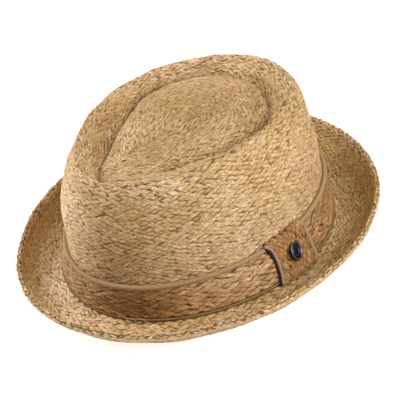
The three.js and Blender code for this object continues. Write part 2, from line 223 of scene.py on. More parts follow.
class Sheet:
    """A smooth sheet. up runs along its profile and turn runs round the hat, both from 0 to 1."""

    def __init__(self, points, closed=True):
        self.closed = closed
        self.points = self.evened(points)
        self.steps_up = len(self.points) - 1
        self.steps_round = self.points.shape[1] - 1
        rise = np.gradient(self.points, axis=0)
        if closed:
            wrapped = np.concatenate([self.points[:, -2:-1], self.points, self.points[:, 1:2]], axis=1)
            sweep = (wrapped[:, 2:] - wrapped[:, :-2]) / 2
        else:
            sweep = np.gradient(self.points, axis=1)
        facing = np.cross(sweep, rise)
        self.normals = facing / np.maximum(np.linalg.norm(facing, axis=-1, keepdims=True), 1e-9)
        self.up_lengths = np.linalg.norm(rise, axis=-1) * self.steps_up
        self.round_lengths = np.linalg.norm(sweep, axis=-1) * self.steps_round

    @staticmethod
    def evened(points):
        """Rows at even distances along each column, then columns at even distances round the hat."""
        count = max(24, len(points))
        steps = np.linalg.norm(np.diff(points, axis=0), axis=-1)
        gone = np.concatenate([np.zeros((1, points.shape[1])), np.cumsum(steps, axis=0)])
        even = np.linspace(0, 1, count)
        rows = np.empty((count, points.shape[1], 3))
        for column in range(points.shape[1]):
            share = gone[:, column] / gone[-1, column]
            for axis in range(3):
                rows[:, column, axis] = np.interp(even, share, points[:, column, axis])
        widths = np.linalg.norm(np.diff(rows, axis=1), axis=-1).mean(axis=0)
        share = np.concatenate([[0], np.cumsum(widths)])
        share /= share[-1]
        place = np.interp(np.linspace(0, 1, points.shape[1]), share, np.arange(points.shape[1]))
        left = np.minimum(place.astype(int), points.shape[1] - 2)
        part = (place - left)[None, :, None]
        return rows[:, left] * (1 - part) + rows[:, left + 1] * part

    def read(self, grid, up, turn):
        row = np.clip(up, 0, 1) * self.steps_up
        column = (turn % 1 if self.closed else np.clip(turn, 0, 1)) * self.steps_round
        i = np.clip(row.astype(int), 0, self.steps_up - 1)
        j = np.clip(column.astype(int), 0, self.steps_round - 1)
        a = row - i
        b = column - j
        if grid.ndim == 3:
            a = a[..., None]
            b = b[..., None]
        low = grid[i, j] * (1 - b) + grid[i, j + 1] * b
        high = grid[i + 1, j] * (1 - b) + grid[i + 1, j + 1] * b
        return low * (1 - a) + high * a

    def at(self, up, turn, lift=0.0):
        up, turn, lift = np.broadcast_arrays(*(np.asarray(value, float) for value in (up, turn, lift)))
        return self.read(self.points, up, turn) + self.read(self.normals, up, turn) * lift[..., None]

    def row_length(self, up):
        return float(self.read(self.round_lengths, np.full(200, up), np.linspace(0, 0.995, 200)).mean())

    def even_turns(self, up, shares):
        """Turns at which a row has gone the given shares of its own length."""
        turns = np.linspace(0, 1, 401)
        line = self.read(self.points, np.full(401, up), np.minimum(turns, 0.99999))
        gone = np.concatenate([[0], np.cumsum(np.linalg.norm(np.diff(line, axis=0), axis=-1))])
        return np.interp(shares % 1 if self.closed else shares, gone / gone[-1], turns)

    def turned(self, lift):
        """The other face of the sheet's wall, looking the other way."""
        return Sheet((self.points + self.normals * lift)[:, ::-1], self.closed)


ROUND = np.linspace(0, 2 * np.pi, COLUMNS + 1)
crown_low, crown_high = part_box("crown")

# where the middle of the wearer's head is in the frame, found from the crown that was modelled there
HEAD = np.array([
    (crown_low.x + crown_high.x) / 2 / MM,
    crown_low.y / MM + CROWN_RINGS[0][1],
    0.0,
])


def crown_stack(angles):
    return smooth_stack(CROWN_RINGS, angles) + HEAD


def brim_stack(angles):
    return smooth_stack(BRIM_RINGS, angles) + HEAD


def beside_crown(angles, high, off):
    """Points beside the crown's wall at one height: off is their distance out from the wall."""
    turn = 0.01
    shells = []
    for shift in (-turn, 0, turn):
        stack = crown_stack(angles + shift)[:2 * FINE + 1]
        line = np.empty((len(angles), 3))
        for column in range(len(angles)):
            for axis in range(3):
                line[column, axis] = np.interp(high, stack[:, column, 2], stack[:, column, axis])
        shells.append(line)
    ahead = shells[2] - shells[0]
    out = np.stack([ahead[:, 1], -ahead[:, 0], np.zeros(len(angles))], -1)
    out /= np.linalg.norm(out, axis=-1, keepdims=True)
    return shells[1] + out * off


def lumpy(stack, seed, size, wave):
    sheet = Sheet(stack)
    lumps = unevenness(sheet.points, seed, size, wave)[..., None]
    return Sheet(sheet.points + sheet.normals * lumps)


def painted_lighting(surface, sheet, up, turn):
    """The painted light and shade at places on a sheet: how bright the straw is coloured there, where 1 is
    its usual brightness.
    """
    spot = sheet.at(up, turn) - HEAD
    angles = np.degrees(np.arctan2(spot[..., 0], -spot[..., 1]))
    bright = np.ones(len(up))
    for name, angle, wide, middle, tall, change in PAINTED_LIGHT_AND_SHADE:
        if name == surface:
            off = np.hypot(((angles - angle + 180) % 360 - 180) / wide, (up - middle) / tall)
            bright *= 1 + change * np.where(off < 1, np.cos(np.minimum(off, 1) * np.pi / 2) ** 2, 0)
    return bright


# Meshes

def linked(name, data):
    made = bpy.data.objects.new(name, data)
    bpy.context.scene.collection.objects.link(made)
    return made


def to_object(name, mesh, material):
    piece = linked(name, mesh)
    piece.data.materials.append(material)
    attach(piece, "root")
    return piece


def new_shape():
    bm = bmesh.new()
    bm.loops.layers.uv.new("UVMap")
    return bm


def wrap_grid(bm, across, around, place, size):
    """Adds a grid wrapped over a shape. place gives the points, in millimetres, for shares across and around;
    size is the grid's real size, which its UV map keeps in millimetres."""
    layer = bm.loops.layers.uv["UVMap"]
    made = bmesh.ops.create_grid(bm, x_segments=around, y_segments=across, size=0.5, calc_uvs=True)["verts"]
    shares = np.array([vertex.co[:2] for vertex in made]) + 0.5
    points = place(shares[:, 1], shares[:, 0]) * MM
    for vertex, point in zip(made, points):
        vertex.co = point
        for loop in vertex.link_loops:
            uv = loop[layer].uv
            uv.x *= size[0]
            uv.y *= size[1]
    bmesh.ops.remove_doubles(bm, verts=made, dist=0.00001)


def to_piece(name, bm, material):
    for face in bm.faces:
        face.smooth = True
    mesh = bpy.data.meshes.new(name)
    bm.to_mesh(mesh)
    bm.free()
    return to_object(name, mesh, material)


def wrapped(name, across, around, place, size, material, slot):
    """One open sheet as a piece of its own."""
    bm = new_shape()
    wrap_grid(bm, across, around, place, size)
    return to_piece(name, bm, material)


def thicken(piece, thickness):
    """Gives a wall its thickness, inwards from the face that was made."""
    wall = piece.modifiers.new("wall", "SOLIDIFY")
    wall.thickness = thickness * MM
    wall.offset = -1
    wall.use_even_offset = False


def strand_unit(along, across):
    """What shows of one strand between two crossings, 1 by 1: its points, how high each stands, and its
    faces. Its two ends dip under its neighbours and its two sides lie over them."""
    bm = bmesh.new()
    bmesh.ops.create_grid(bm, x_segments=along, y_segments=across, size=0.5)
    flat = np.array([vertex.co[:2] for vertex in bm.verts])
    faces = np.array([[vertex.index for vertex in face.verts] for face in bm.faces])
    bm.free()
    a = flat[:, 0]
    b = flat[:, 1]
    end = np.abs(2 * a)
    side = np.abs(2 * b)
    crest = 1 - end ** 3 * 1.7 - side ** 3 * 0.7
    corner = 1 - 0.2 * (end * side) ** 2
    return a * corner, b * corner, crest, faces


def joined_strands(name, surface, sheet, places, unit, height, material, tilt=0.12, floor=None):
    """Lays a strand at each place of a weave over a sheet, all in one mesh. places has a row for each: up,
    turn, way, lean, half its step along the row, its step up, tone, warmth and lift. surface is its name in
    the table of painted light and shade."""
    a, b, crest, faces = unit
    up, turn, way, lean, half_step, pitch, tone, warmth, lift = [column[:, None] for column in places.T]
    x = (a + b) * half_step
    y = (a - b) * pitch * way
    along = x * np.cos(lean) - y * np.sin(lean)
    over = x * np.sin(lean) + y * np.cos(lean)
    round_length = np.maximum(sheet.read(sheet.round_lengths, up[:, 0], turn[:, 0])[:, None], 20)
    up_length = np.maximum(sheet.read(sheet.up_lengths, up[:, 0], turn[:, 0])[:, None], 1)
    raised = lift + crest * height + tilt * b * way * 2
    points = sheet.at(up + over / up_length, turn + along / round_length, raised)
    if floor is not None:
        points[..., 2] = np.maximum(points[..., 2], floor)
    count, corners = points.shape[:2]
    quads = (faces[None] + np.arange(count)[:, None, None] * corners).reshape(-1, faces.shape[1])
    quads = np.where(np.repeat(way < 0, len(faces), 0), quads, quads[:, ::-1])
    mesh = bpy.data.meshes.new(name)
    mesh.vertices.add(count * corners)
    mesh.vertices.foreach_set("co", (points * MM).astype(np.float32).ravel())
    mesh.loops.add(quads.size)
    mesh.loops.foreach_set("vertex_index", quads.astype(np.int32).ravel())
    mesh.polygons.add(len(quads))
    mesh.polygons.foreach_set("loop_start", np.arange(0, quads.size, faces.shape[1], dtype=np.int32))
    mesh.polygons.foreach_set("use_smooth", np.ones(len(quads), bool))
    mesh.update(calc_edges=True)
    chance = np.random.default_rng(count)
    start = chance.uniform(0, 400, (count, 1))
    run = 0.45 * np.arctan2(pitch, half_step) * way
    fibre_along = x * np.cos(run) + y * np.sin(run) + start
    fibre_across = y * np.cos(run) - x * np.sin(run) + start * 0.37
    uv = np.stack([fibre_along, fibre_across], -1).reshape(-1, 2)
    layer = mesh.uv_layers.new(name="strand")
    layer.data.foreach_set("uv", uv[quads.ravel()].astype(np.float32).ravel())
    cell = np.tile(np.stack([a, b], -1) + 0.5, (count, 1))
    layer = mesh.uv_layers.new(name="cell")
    layer.data.foreach_set("uv", cell[quads.ravel()].astype(np.float32).ravel())
    tint = np.ones((count, corners, 4))
    tint[..., 0] = tone
    tint[..., 1] = warmth
    # the tint's blue channel carries the painted light and shade
    tint[..., 2] = painted_lighting(surface, sheet, up[:, 0], turn[:, 0])[:, None]
    # the tint's alpha is how deep each strand's painted tuck shade goes
    tint[..., 3] = np.clip(chance.normal(0.6, 0.35, (count, 1)), 0, 1)
    colours = mesh.color_attributes.new("tint", "FLOAT_COLOR", "POINT")
    colours.data.foreach_set("color", tint.astype(np.float32).ravel())
    to_object(name, mesh, material)


def strand_row(sheet, up, spread_up, count, shift, way, half_step, pitch, chance, ruffle):
    """Places for one row of strands. spread_up is how far they may stray up or down."""
    shares = (np.arange(count) + shift + chance.normal(0, 0.05, count) * ruffle) / count
    size = 1 + chance.normal(0, 0.07, count) * ruffle
    return np.stack([
        up + chance.normal(0, 0.09, count) * ruffle * spread_up,
        sheet.even_turns(up, shares),
        np.full(count, way),
        np.radians(chance.normal(0, 6, count) * ruffle),
        half_step * size,
        pitch * size * (1 + chance.normal(0, 0.08, count) * ruffle),
        np.clip(chance.normal(0.5, 0.34, count), 0, 1),
        np.clip(chance.normal(0.35, 0.33, count), 0, 1),
        chance.normal(0, 0.07, count) * ruffle,
    ], 1)


def weave(sheet, spacing, pitch, seed, low=0.0, high=1.0, ruffle=1.0, full=1.34, lean=0.0):
    """Places for a plait woven over one and under one. Its rows lean one way and then the other, each half
    a step on from the last; spacing is the step along a row and pitch the step up to the next."""
    chance = np.random.default_rng(seed)
    height = float(sheet.up_lengths.mean()) * (high - low)
    rows = max(1, int(round(height / pitch)))
    count = 0
    places = []
    for row in range(rows):
        up = low + (high - low) * (row + 0.5) / rows
        around = sheet.row_length(up)
        if not count or abs(around / count / spacing - 1) > 0.13:
            count = max(5, int(round(around / spacing)))
        places.append(strand_row(sheet, up, (high - low) / rows, count, 0.5 * (row % 2), 1 - 2 * (row % 2),
                                 around / count / 2 * full, height / rows * full, chance, ruffle))
        places[-1][:, 3] += math.radians(lean)
    return np.concatenate(places)


def plait(name, surface, sheet, unit, height, material, slot="raffia", tilt=0.12, floor=None, **weaving):
    """One weave over a sheet as a piece. weaving is what weave takes besides the sheet."""
    places = weave(sheet, **weaving)
    joined_strands(name, surface, sheet, places, unit, height, material, tilt, floor)


# Materials

def node(tree, kind, values=None, **settings):
    """A node. values has a socket or a plain value for each input that it names."""
    made = tree.nodes.new(kind)
    for name, value in settings.items():
        setattr(made, name, value)
    for name, value in (values or {}).items():
        if isinstance(value, bpy.types.NodeSocket):
            tree.links.new(value, made.inputs[name])
        else:
            made.inputs[name].default_value = value
    return made


def mix(tree, first, second, share, blend="MIX"):
    places = {0: share, 6: first, 7: second}
    return node(tree, "ShaderNodeMix", places, data_type="RGBA", blend_type=blend).outputs[2]


def sums(tree, operation, *values):
    return node(tree, "ShaderNodeMath", dict(enumerate(values)), operation=operation).outputs[0]


def times(tree, first, second):
    return sums(tree, "MULTIPLY", first, second)


def spread(tree, value, low, high, to_low=0.0, to_high=1.0):
    values = {"Value": value, "From Min": low, "From Max": high, "To Min": to_low, "To Max": to_high}
    return node(tree, "ShaderNodeMapRange", values).outputs["Result"]


def new_group(name, inputs, outputs):
    """A node group. Each input has its starting number, or None where it takes a place."""
    group = bpy.data.node_groups.new(name, "ShaderNodeTree")
    for label, value in inputs.items():
        kind = "NodeSocketVector" if value is None else "NodeSocketFloat"
        made = group.interface.new_socket(label, in_out="INPUT", socket_type=kind)
        if value is not None:
            made.default_value = value
    for label in outputs:
        group.interface.new_socket(label, in_out="OUTPUT", socket_type="NodeSocketFloat")
    return group, node(group, "NodeGroupInput"), node(group, "NodeGroupOutput")


def make_fibre_group():
    """The fine lines of a raffia strand, from a UV map that runs along it in x and across it in y."""
    group, start, end = new_group("raffia_fibres", {"Strand": None, "Lines": 0.95}, ("Height", "Fleck"))
    parts = node(group, "ShaderNodeSeparateXYZ", {0: start.outputs["Strand"]})
    along = times(group, parts.outputs["X"], 0.17)
    across = times(group, parts.outputs["Y"], start.outputs["Lines"])
    joined = node(group, "ShaderNodeCombineXYZ", {"X": along, "Y": across})
    lines = node(group, "ShaderNodeTexNoise",
                 {"Vector": joined.outputs[0], "Scale": 1.0, "Detail": 2.0, "Roughness": 0.65})
    drawn = node(group, "ShaderNodeMapping", {"Vector": start.outputs["Strand"], "Scale": (0.5, 1.2, 1.0)})
    flecks = node(group, "ShaderNodeTexNoise", {"Vector": drawn.outputs[0], "Scale": 1.3, "Detail": 0.0})
    group.links.new(spread(group, lines.outputs[0], 0.32, 0.68), end.inputs["Height"])
    group.links.new(spread(group, flecks.outputs[0], 0.60, 0.74), end.inputs["Fleck"])
    return group


def make_tuck_shade_group():
    """Painted shade where a strand goes under its neighbours, from a UV map that covers one visible length of
    it.
    """
    group, start, end = new_group("strand_tuck_shade", {"Cell": None, "Depth": 0.5}, ("Tuck",))
    parts = node(group, "ShaderNodeSeparateXYZ", {0: start.outputs["Cell"]})
    masks = []
    for axis, near, far, most in (("X", 0.10, 0.40, 1.0), ("Y", 0.22, 0.42, 0.65)):
        off = sums(group, "ABSOLUTE", sums(group, "SUBTRACT", parts.outputs[axis], 0.5))
        masks.append(times(group, sums(group, "POWER", spread(group, off, near, far), 2.2), most))
    tuck = times(group, sums(group, "MAXIMUM", *masks), start.outputs["Depth"])
    group.links.new(tuck, end.inputs["Tuck"])
    return group


def make_fading_group():
    """Broad soft patches over the whole hat where the straw is paler or rosier."""
    group, start, end = new_group("straw_fading", {"Size": 22.0}, ("Pale", "Rosy"))
    place = node(group, "ShaderNodeTexCoord")
    for name, offset, scale in (("Pale", 0.0, 1.0), ("Rosy", 3.7, 1.7)):
        moved = node(group, "ShaderNodeMapping",
                     {"Vector": place.outputs["Object"], "Location": (offset, offset, 0)})
        size = times(group, start.outputs["Size"], scale)
        cloud = node(group, "ShaderNodeTexNoise",
                     {"Vector": moved.outputs[0], "Scale": size, "Detail": 2.0, "Roughness": 0.55})
        group.links.new(spread(group, cloud.outputs[0], 0.35, 0.65), end.inputs[name])
    return group


def make_grit_group():
    """A fine uneven tooth for the plain walls, tape, thread and metal, from object coordinates."""
    group, start, end = new_group("fine_grit", {"Scale": 900.0}, ("Grit",))
    place = node(group, "ShaderNodeTexCoord").outputs["Object"]
    specks = node(group, "ShaderNodeTexNoise",
                  {"Vector": place, "Scale": start.outputs["Scale"], "Detail": 3.0, "Roughness": 0.7})
    group.links.new(specks.outputs[0], end.inputs["Grit"])
    return group


FIBRES = make_fibre_group()
TUCK_SHADE = make_tuck_shade_group()
FADING = make_fading_group()
GRIT = make_grit_group()


def placed_group(tree, group, values=None):
    return node(tree, "ShaderNodeGroup", values, node_tree=group)


def grit_of(tree, scale):
    return placed_group(tree, GRIT, {"Scale": scale}).outputs["Grit"]


def new_material(name, roughness, specular=0.35):
    material = bpy.data.materials.new(name)
    material.use_nodes = True
    shader = material.node_tree.nodes["Principled BSDF"]
    shader.inputs["Roughness"].default_value = roughness
    shader.inputs["Specular IOR Level"].default_value = specular
    return material, material.node_tree, shader


def bumped(tree, shader, height, distance, strength):
    bump = node(tree, "ShaderNodeBump", {"Height": height, "Distance": distance, "Strength": strength})
    tree.links.new(bump.outputs[0], shader.inputs["Normal"])


def straw(name, pale, golden, rosy, shade_and_fleck, roughness=0.6, contrast=0.42, tuck_shade=1.0):
    """Raffia strands: each has its own tone and warmth, painted shade where it dives under the next, and the
    painted light and shade that the tint carries.
    """
    material, tree, shader = new_material(name, roughness)
    tint = node(tree, "ShaderNodeAttribute", attribute_name="tint")
    parts = node(tree, "ShaderNodeSeparateColor", {0: tint.outputs["Color"]})
    strand = node(tree, "ShaderNodeUVMap", uv_map="strand")
    cell = node(tree, "ShaderNodeUVMap", uv_map="cell")
    fibres = placed_group(tree, FIBRES, {"Strand": strand.outputs[0]})
    tuck = placed_group(tree, TUCK_SHADE, {"Cell": cell.outputs[0], "Depth": tint.outputs["Alpha"]})
    fading = placed_group(tree, FADING)
    tone = sums(tree, "ADD", times(tree, parts.outputs["Red"], 0.62),
                times(tree, fading.outputs["Pale"], 0.38))
    warmth = sums(tree, "ADD", times(tree, parts.outputs["Green"], 0.7),
                  times(tree, fading.outputs["Rosy"], 0.3))
    colour = mix(tree, mix(tree, golden, pale, tone), rosy, times(tree, warmth, 0.75))
    grey = node(tree, "ShaderNodeCombineColor")
    bright = spread(tree, fibres.outputs["Height"], 0.0, 1.0, 1 - contrast, 1 + contrast)
    # painted light and shade from the tint's blue channel: browner where it darkens, paler where it brightens
    for channel, power in (("Red", 1.0), ("Green", 1.3), ("Blue", 2.1)):
        lit_and_shaded = sums(tree, "POWER", parts.outputs["Blue"], power)
        tree.links.new(times(tree, bright, lit_and_shaded), grey.inputs[channel])
    colour = mix(tree, colour, grey.outputs[0], 1.0, "MULTIPLY")
    colour = mix(tree, colour, shade_and_fleck, times(tree, fibres.outputs["Fleck"], 0.9))
    # painted shade at the strand's ends and sides, where it goes under its neighbours
    colour = mix(tree, colour, shade_and_fleck, times(tree, tuck.outputs["Tuck"], tuck_shade))
    tree.links.new(colour, shader.inputs["Base Color"])
    tree.links.new(spread(tree, fibres.outputs["Height"], 0.0, 1.0, roughness + 0.15, roughness - 0.1),
                   shader.inputs["Roughness"])
    bumped(tree, shader, fibres.outputs["Height"], 0.0005, 0.9)
    return material


def under_straw(name, shade_and_fleck, golden):
    """The wall between and behind the strands, mostly in shade, and coloured darker than the straw as painted
    shade.
    """
    material, tree, shader = new_material(name, 0.85, 0.15)
    grit = grit_of(tree, 700.0)
    tree.links.new(mix(tree, shade_and_fleck, golden, spread(tree, grit, 0.45, 0.75)), shader.inputs["Base Color"])
    bumped(tree, shader, grit, 0.0004, 0.8)
    return material


def tape(name, light, dark, rib=0.95, slope=0.55):
    """Taupe tape over a cord, with fine slanting ribs across it. Its UV map is in millimetres."""
    material, tree, shader = new_material(name, 0.82, 0.25)
    place = node(tree, "ShaderNodeTexCoord").outputs["UV"]
    parts = node(tree, "ShaderNodeSeparateXYZ", {0: place})
    slanted = sums(tree, "ADD", parts.outputs["X"], times(tree, parts.outputs["Y"], slope))
    ribs = spread(tree, sums(tree, "SINE", times(tree, slanted, 2 * math.pi / rib)), -1.0, 1.0)
    share = sums(tree, "ADD", times(tree, ribs, 0.6), times(tree, grit_of(tree, 1400.0), 0.55))
    tree.links.new(mix(tree, dark, light, share), shader.inputs["Base Color"])
    bumped(tree, shader, share, 0.0003, 0.7)
    return material


def thread(name, colour):
    material, tree, shader = new_material(name, 0.6, 0.3)
    darker = tuple(value * 0.7 for value in colour[:3]) + (1,)
    tree.links.new(mix(tree, darker, colour, grit_of(tree, 2500.0)), shader.inputs["Base Color"])
    return material


def black_metal(name, black, bare_and_highlight):
    """Blackened metal, coloured brighter along its raised rim and ring, both as rubbed wear and as a painted
    highlight.
    """
    material, tree, shader = new_material(name, 0.3, 0.5)
    shader.inputs["Metallic"].default_value = 0.85
    rub_and_highlight = node(tree, "ShaderNodeAttribute", attribute_name="rub_and_highlight").outputs["Fac"]
    grit = grit_of(tree, 1200.0)
    rubbed_and_highlit = times(tree, rub_and_highlight, spread(tree, grit, 0.35, 0.7))
    tree.links.new(mix(tree, black, bare_and_highlight, rubbed_and_highlit), shader.inputs["Base Color"])
    tree.links.new(spread(tree, grit, 0.3, 0.7, 0.26, 0.46), shader.inputs["Roughness"])
    return material


SHADE_AND_FLECK = (0.20, 0.088, 0.016, 1)  # painted shade where a strand ends under its neighbours, also the colour of the fibres' dark flecks

CROWN_STRAW = straw("crown_straw", (0.84, 0.60, 0.34, 1), (0.50, 0.30, 0.08, 1), (0.68, 0.41, 0.22, 1), SHADE_AND_FLECK,
                    tuck_shade=0.95)
BRIM_STRAW = straw("brim_straw", (0.78, 0.53, 0.24, 1), (0.47, 0.285, 0.085, 1), (0.56, 0.31, 0.12, 1), SHADE_AND_FLECK)
TROUGH_STRAW = straw("trough_straw", (0.90, 0.64, 0.34, 1), (0.50, 0.31, 0.10, 1), (0.66, 0.39, 0.19, 1), SHADE_AND_FLECK)
EDGE_STRAW = straw("edge_straw", (0.86, 0.63, 0.37, 1), (0.58, 0.36, 0.14, 1), (0.62, 0.36, 0.18, 1), SHADE_AND_FLECK)
BAND_STRAW = straw("band_straw", (0.78, 0.48, 0.22, 1), (0.24, 0.12, 0.015, 1), (0.53, 0.25, 0.10, 1),
                   (0.11, 0.05, 0.012, 1), roughness=0.55, contrast=0.35, tuck_shade=1.2)
TAB_STRAW = straw("tab_straw", (0.62, 0.355, 0.13, 1), (0.25, 0.115, 0.018, 1), (0.47, 0.175, 0.05, 1),
                  (0.10, 0.035, 0.01, 1), roughness=0.55, contrast=0.35, tuck_shade=1.2)
# painted shade: the plain walls behind the strands are coloured darker than the straw, darkest under the edge
# and the band
UNDER_STRAW = under_straw("under_straw", (0.26, 0.155, 0.04, 1), (0.48, 0.30, 0.10, 1))
EDGE_CORE = under_straw("edge_core_straw", (0.09, 0.05, 0.014, 1), (0.22, 0.13, 0.045, 1))
UNDER_BAND = under_straw("under_band", (0.10, 0.05, 0.018, 1), (0.28, 0.16, 0.07, 1))
TAPE = tape("taupe_tape", (0.60, 0.39, 0.20, 1), (0.19, 0.115, 0.05, 1), rib=1.6, slope=0.8)
EDGE_TAPE = tape("edge_tape", (0.38, 0.25, 0.125, 1), (0.20, 0.115, 0.05, 1))
# a maroon backing so dark that it also paints the shadow beside the tab's front piping
BACKING_AND_SHADOW = tape("maroon_backing_and_shadow", (0.055, 0.018, 0.018, 1), (0.02, 0.006, 0.007, 1))
TAB_TAPE = tape("tab_tape", (0.58, 0.43, 0.34, 1), (0.27, 0.15, 0.12, 1))
FIBRE = thread("loose_fibre", (0.80, 0.62, 0.38, 1))
BLACK_METAL = black_metal("black_metal", (0.016, 0.017, 0.023, 1), (0.50, 0.51, 0.56, 1))


# The hat's pieces

UNIT = strand_unit(5, 3)
SMALL_UNIT = strand_unit(4, 2)

brim = lumpy(brim_stack(ROUND), seed=8, size=0.3, wave=40)
brim.points[..., 2] = np.maximum(brim.points[..., 2], BRIM_REST)


def crown_parts():
    stack = crown_stack(ROUND)
    wave = unevenness(stack, seed=3, size=0.4, wave=34)[..., None]
    whole_rise = np.gradient(stack, axis=0)
    wrapped_stack = np.concatenate([stack[:, -2:-1], stack, stack[:, 1:2]], axis=1)
    sweep = wrapped_stack[:, 2:] - wrapped_stack[:, :-2]
    facing = np.cross(sweep, whole_rise)
    facing /= np.maximum(np.linalg.norm(facing, axis=-1, keepdims=True), 1e-9)
    heights = np.clip((stack[..., 2:3] - UNEVEN_FROM) / UNEVEN_RISE, 0, 1)
    stack = stack + facing * wave * heights
    low = int(PLAIT_START * FINE)
    ridge = RIDGE * FINE
    return Sheet(stack), Sheet(stack[low:ridge + 1]), Sheet(stack[ridge:])


crown, crown_side, crown_top = crown_parts()


def make_crown():
    shell = wrapped("crown_wall", 110, 240, lambda up, turn: crown.at(up, turn, -UNDER), (580, 180),
                    UNDER_STRAW, "raffia")
    thicken(shell, INNER - UNDER)
    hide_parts("crown")
    plait("crown_side_plait", "crown_side", crown_side, UNIT, 0.6, CROWN_STRAW, tilt=0.06,
          spacing=8.6, pitch=1.6, seed=11, ruffle=1.6, lean=-2.0)
    plait("crown_top_plait", "crown_top", crown_top, UNIT, 0.6, CROWN_STRAW,
          spacing=7.4, pitch=1.4, seed=12, ruffle=1.6)
    plait("crown_inside_plait", "inside", crown.turned(-INNER), SMALL_UNIT, 0.45, CROWN_STRAW,
          spacing=8.8, pitch=2.7, seed=13, high=0.99)


def make_brim():
    shell = wrapped("brim_wall", 40, 240, lambda up, turn: brim.at(up, turn, -UNDER), (780, 42),
                    UNDER_STRAW, "raffia")
    thicken(shell, INNER - UNDER)
    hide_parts("brim")
    plait("brim_turn_up_plait", "brim", brim, UNIT, 0.42, BRIM_STRAW,
          spacing=6.4, pitch=1.3, seed=21, low=0.10, high=TURN_UP_TO, ruffle=1.3)
    plait("brim_trough_plait", "brim", brim, UNIT, 0.6, TROUGH_STRAW, tilt=0.3,
          spacing=7.6, pitch=1.6, seed=23, low=TURN_UP_TO, high=0.97, ruffle=1.7)
    plait("brim_under_plait", "under", brim.turned(-INNER), SMALL_UNIT, 0.4, BRIM_STRAW, floor=0.0,
          spacing=8.4, pitch=2.6, seed=22, low=0.06, high=0.99)


# the folded edge's section, from the upper face round the edge to the lower: how far in from the brim's
# edge, and how far off its upper face. Its two plies meet in a seam at the edge.
EDGE_SECTION = [
    (6.0, 0.0), (4.5, 0.35), (3.0, 0.5), (1.4, 0.6), (0.4, 0.5), (-0.25, 0.05), (-0.15, -0.5), (0.5, -0.9),
    (-0.15, -1.3), (-0.35, -1.85), (0.1, -2.5), (1.2, -2.85), (2.8, -2.9), (4.5, -2.75), (6.0, -2.1),
]
UPPER_PLY, SEAM, LOWER_PLY = 5, 7, 9  # places in the section
SEAM_BARE = 0.14  # how far the plaited faces stay clear of the seam, as a share of the section
PLY_STEP = 5.2  # from one strand of a ply to the next
CORE_UNDER = 0.3  # how deep the plain core lies under the strands' sheet


def edge_section_sheet():
    depth = brim.up_lengths.mean()
    turns = np.minimum(np.linspace(0, 1, COLUMNS + 1), 0.999999)
    rows = []
    for reach, lift in EDGE_SECTION:
        row = brim.at(np.full(COLUMNS + 1, max(reach, 0) / depth), turns, lift)
        if reach < 0:
            inner = brim.at(np.full(COLUMNS + 1, 2 / depth), turns, lift)
            away = row - inner
            row = row - away / np.linalg.norm(away, axis=-1, keepdims=True) * reach
        rows.append(row)
    return Sheet(np.stack(rows)[::-1])


def section_shares():
    """How far along the section each of its points lies, from the lower face, as shares of its length."""
    steps = np.linalg.norm(np.diff(np.array(EDGE_SECTION[::-1]), axis=0), axis=-1)
    gone = np.concatenate([[0], np.cumsum(steps)])
    return (gone / gone[-1])[::-1]


def make_edge_braid():
    section = edge_section_sheet()
    shares = section_shares()
    core = wrapped("edge_core", 40, 300, lambda up, turn: section.at(up, turn, -CORE_UNDER), (830, 16),
                   EDGE_CORE, "raffia")
    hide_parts("edge_braid")
    seam = float(shares[SEAM])
    faces = np.concatenate([
        weave(section, spacing=6.8, pitch=1.9, seed=31, high=seam - SEAM_BARE, ruffle=1.2),
        weave(section, spacing=6.8, pitch=1.9, seed=32, low=seam + SEAM_BARE, high=0.98, ruffle=1.2),
    ])
    joined_strands("edge_plait", "edge", section, faces, UNIT, 0.35, EDGE_STRAW)
    chance = np.random.default_rng(33)
    count = int(section.row_length(seam) / PLY_STEP)
    plies = []
    for ply in (UPPER_PLY, LOWER_PLY):
        plies.append(strand_row(section, float(shares[ply]), 0.02, count, chance.uniform(), way=1,
                                half_step=4.4, pitch=1.1, chance=chance, ruffle=2.2))
    joined_strands("edge_plies", "edge", section, np.concatenate(plies), UNIT, 0.6, EDGE_STRAW,
                   tilt=0.3)


def make_band():
    heights = np.linspace(BAND_LOW, BAND_HIGH, 12)
    swell = BAND_OFF + BAND_SWELL * np.sin(np.pi * (heights - BAND_LOW) / (BAND_HIGH - BAND_LOW))
    band = Sheet(np.stack([beside_crown(ROUND, high, off) for high, off in zip(heights, swell)]))
    wall = wrapped("band_wall", 14, 240, lambda up, turn: band.at(up, turn, -BAND_UNDER), (600, 22),
                   UNDER_BAND, "band_raffia")
    thicken(wall, BAND_THICK)
    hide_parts("hat_band")
    plait("band_plait", "band", band, UNIT, 0.45, BAND_STRAW, "band_raffia",
          spacing=11.0, pitch=1.8, seed=41, ruffle=1.3)


def add_tube(bm, path, outward, radius, closed, around=14, flatten=1.0):
    """Adds a cord along a path. outward gives, for each point, the way that its ribs count from."""
    path = np.asarray(path, float)
    if closed:
        ahead = np.roll(path, -1, 0) - np.roll(path, 1, 0)
    else:
        ahead = np.gradient(path, axis=0)
    ahead /= np.linalg.norm(ahead, axis=-1, keepdims=True)
    out = outward - (outward * ahead).sum(-1, keepdims=True) * ahead
    out /= np.linalg.norm(out, axis=-1, keepdims=True)
    side = np.cross(ahead, out)
    gone = np.linalg.norm(np.diff(path, axis=0), axis=-1).sum()
    count = len(path)

    def place(share_round, share_along):
        if closed:
            spot = np.round(share_along * count).astype(int) % count
        else:
            spot = np.round(share_along * (count - 1)).astype(int)
        turn = 2 * np.pi * share_round[:, None]
        return path[spot] + radius * (out[spot] * np.cos(turn) * flatten + side[spot] * np.sin(turn))

    steps = count if closed else count - 1
    wrap_grid(bm, around, steps, place, (gone, 2 * math.pi * radius))
    if not closed:
        bmesh.ops.holes_fill(bm, edges=[edge for edge in bm.edges if edge.is_boundary], sides=0)
    bmesh.ops.recalc_face_normals(bm, faces=bm.faces[:])


